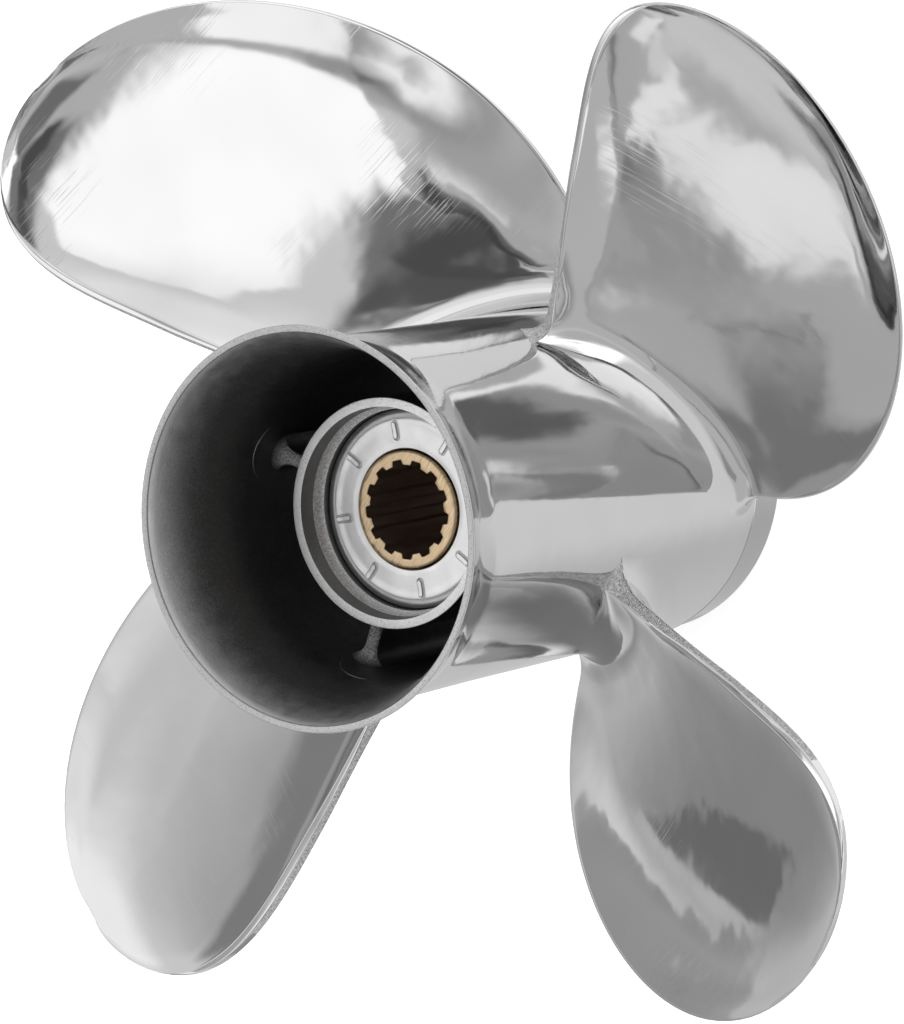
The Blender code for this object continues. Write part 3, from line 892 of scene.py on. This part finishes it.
place(outer_hub(), "polished_stainless", "outer_hub")
for index in range(BLADE_COUNT):
    place(blade(f"polished_blade_{index + 1}", index), "polished_stainless",
          f"blade_{index + 1}")
place(inner_hub(), "blasted_stainless", "inner_hub")
for index in range(len(WEB_TURNS)):
    place(web(f"cast_web_{index + 1}", index), "blasted_stainless", f"web_{index + 1}")
place(bush(), "black_rubber", "rubber_bush")
place(washer(), "satin_steel", "end_washer")
place(sleeve(), "machined_brass", "splined_sleeve")


# Floor, light and camera

def floor():
    mesh = bpy.data.meshes.new("studio_floor")
    size = FLOOR_HALF_SIZE
    corners = [(-size, -size, 0), (size, -size, 0), (size, size, 0), (-size, size, 0)]
    mesh.from_pydata(corners, [], [(0, 1, 2, 3)])
    obj = bpy.data.objects.new("studio_floor", mesh)
    bpy.context.scene.collection.objects.link(obj)
    material = bpy.data.materials.new("pale_floor")
    material.use_nodes = True
    shader = material.node_tree.nodes["Principled BSDF"]
    shader.inputs["Base Color"].default_value = (*grey(FLOOR_GREY), 1.0)
    shader.inputs["Roughness"].default_value = FLOOR_ROUGHNESS
    shader.inputs["Emission Color"].default_value = (*grey(1.0), 1.0)
    shader.inputs["Emission Strength"].default_value = FLOOR_GLOW
    mesh.materials.append(material)
    obj.visible_glossy = False


# Each panel of the studio, as (azimuth, elevation, roll, half width, half height, softness,
# brightness). Azimuth 0 is the camera's side, 90 is +X; widths are tangents of the angle seen
# from the object. A later panel covers the earlier ones.
STUDIO_BASE = 0.86
STUDIO_PANELS = (
    (-7.3, 48.9, -6.2, 0.734, 0.030, 0.060, 0.05),
    (-36.6, 54.4, -4.9, 0.648, 0.165, 0.050, 0.24),
    (28.6, 115.2, -61.4, 1.748, 0.931, 0.070, 1.48),
    (-19.0, 21.5, -22.5, 0.448, 0.166, 0.050, 1.71),
    (85.7, 47.3, 20.1, 0.460, 0.465, 0.300, 0.78),
    (64.1, 8.3, 21.3, 0.832, 0.570, 0.300, 1.26),
    (164.4, 55.1, -18.5, 0.648, 1.055, 0.300, 0.51),
    (151.7, 12.8, -41.9, 0.267, 0.351, 0.080, 0.29),
    (166.3, 22.0, -60.4, 0.955, 0.183, 0.300, 2.20),
    (186.9, -17.3, -54.5, 0.336, 0.133, 0.050, 0.25),
    (-89.9, 13.1, 31.8, 0.521, 0.546, 0.147, 0.63),
    (-131.0, 42.0, 1.5, 0.586, 0.186, 0.020, 1.35),
    (200.0, 0.1, 14.5, 0.794, 0.453, 0.300, 0.33),
    (189.5, -55.2, -48.0, 1.509, 0.379, 0.300, 0.64),
    (10.3, 8.9, -24.9, 0.172, 0.074, 0.040, 1.70),
    (15.8, -0.5, -3.0, 0.154, 0.120, 0.040, 1.34),
    (-72.7, 4.4, 8.8, 0.199, 0.111, 0.050, 0.37),
    (-54.6, 39.1, 24.7, 0.212, 0.315, 0.060, 0.62),
    (48.6, 36.9, 13.5, 0.106, 0.229, 0.120, 1.09),
    (-49.9, 37.8, 0.4, 0.216, 0.121, 0.040, 0.22),
    (-10.3, 40.9, 6.7, 0.299, 0.159, 0.040, 0.26),
    (2.2, 45.0, -13.9, 0.272, 0.064, 0.040, 0.12),
    (-106.0, 51.0, 0.0, 0.170, 0.080, 0.040, 0.42),
    (-87.0, 45.5, -30.0, 0.100, 0.060, 0.050, 0.60),
    (170.0, 3.0, -30.0, 0.060, 0.035, 0.020, 0.62),
    (175.0, 0.6, -22.0, 0.100, 0.030, 0.012, 0.20),
    (182.0, 58.0, 0.0, 0.300, 0.220, 0.120, 1.25),
    (-26.0, 51.5, -4.0, 0.240, 0.065, 0.030, 0.10),
)


def panel_group():
    """Node group: lays one soft-edged rectangular panel over the light so far."""
    group = bpy.data.node_groups.new("studio_panel", "ShaderNodeTree")
    sockets = group.interface
    for name in ("Direction", "Toward", "Across", "Up", "Inner", "Outer"):
        sockets.new_socket(name, in_out="INPUT", socket_type="NodeSocketVector")
    for name in ("Below", "Brightness"):
        sockets.new_socket(name, in_out="INPUT", socket_type="NodeSocketFloat")
    sockets.new_socket("Light", in_out="OUTPUT", socket_type="NodeSocketFloat")
    nodes, links = group.nodes, group.links
    given = nodes.new("NodeGroupInput").outputs
    result = nodes.new("NodeGroupOutput").inputs

    def dot(axis):
        node = nodes.new("ShaderNodeVectorMath")
        node.operation = "DOT_PRODUCT"
        links.new(given["Direction"], node.inputs[0])
        links.new(given[axis], node.inputs[1])
        return node.outputs["Value"]

    def math_node(operation, *values):
        node = nodes.new("ShaderNodeMath")
        node.operation = operation
        for socket, value in zip(node.inputs, values):
            if isinstance(value, (int, float)):
                socket.default_value = value
            else:
                links.new(value, socket)
        return node.outputs["Value"]

    depth = math_node("MAXIMUM", dot("Toward"), 0.001)
    offset = nodes.new("ShaderNodeCombineXYZ")
    for axis, socket in (("Across", "X"), ("Up", "Y")):
        share = math_node("ABSOLUTE", math_node("DIVIDE", dot(axis), depth))
        links.new(share, offset.inputs[socket])
    fade = nodes.new("ShaderNodeMapRange")
    fade.data_type = "FLOAT_VECTOR"
    fade.interpolation_type = "SMOOTHSTEP"
    for source, socket in ((offset.outputs["Vector"], "Vector"),
                           (given["Inner"], "From_Min_FLOAT3"),
                           (given["Outer"], "From_Max_FLOAT3")):
        links.new(source, next(i for i in fade.inputs
                               if socket in (i.identifier, i.name) and i.enabled))
    for identifier, value in (("To_Min_FLOAT3", 1.0), ("To_Max_FLOAT3", 0.0)):
        next(i for i in fade.inputs if i.identifier == identifier).default_value = (value,) * 3
    split = nodes.new("ShaderNodeSeparateXYZ")
    links.new(next(o for o in fade.outputs if o.enabled), split.inputs["Vector"])
    mask = math_node("MULTIPLY", split.outputs["X"], split.outputs["Y"])
    mix = nodes.new("ShaderNodeMix")
    links.new(mask, mix.inputs["Factor"])
    links.new(given["Below"], mix.inputs["A"])
    links.new(given["Brightness"], mix.inputs["B"])
    links.new(mix.outputs["Result"], result["Light"])
    return group


def world():
    """Studio light from all directions: an even glow with every panel laid over it."""
    made = bpy.data.worlds.new("studio")
    made.use_nodes = True
    nodes, links = made.node_tree.nodes, made.node_tree.links
    direction = nodes.new("ShaderNodeTexCoord").outputs["Generated"]
    group = panel_group()
    light = None
    for azimuth, elevation, roll, width, height, soft, brightness in STUDIO_PANELS:
        turn = Matrix.Rotation(math.radians(azimuth), 3, "Z")
        turn = turn @ Matrix.Rotation(math.radians(90.0 - elevation), 3, "X")
        turn = turn @ Matrix.Rotation(math.radians(roll), 3, "Z")
        panel = nodes.new("ShaderNodeGroup")
        panel.node_tree = group
        links.new(direction, panel.inputs["Direction"])
        for name, value in (("Across", turn.col[0]), ("Up", turn.col[1]), ("Toward", turn.col[2]),
                            ("Inner", (width - soft, height - soft, -1.0)),
                            ("Outer", (width + soft, height + soft, 1.0)),
                            ("Brightness", brightness)):
            panel.inputs[name].default_value = value
        if light is None:
            panel.inputs["Below"].default_value = STUDIO_BASE
        else:
            links.new(light, panel.inputs["Below"])
        light = panel.outputs["Light"]
    links.new(light, nodes["Background"].inputs["Color"])
    made.cycles.sampling_method = "NONE"
    bpy.context.scene.world = made


def camera():
    data = bpy.data.cameras.new("camera")
    data.lens = CAMERA_LENS
    data.sensor_width = SENSOR_WIDTH
    data.clip_start, data.clip_end = 0.05, 20.0
    obj = bpy.data.objects.new("camera", data)
    obj.location = CAMERA_PLACE
    obj.rotation_euler = Euler([math.radians(a) for a in CAMERA_ANGLES], "XYZ")
    bpy.context.scene.collection.objects.link(obj)
    bpy.context.scene.camera = obj


floor()
world()
camera()
bpy.context.scene.view_settings.view_transform = "Standard"
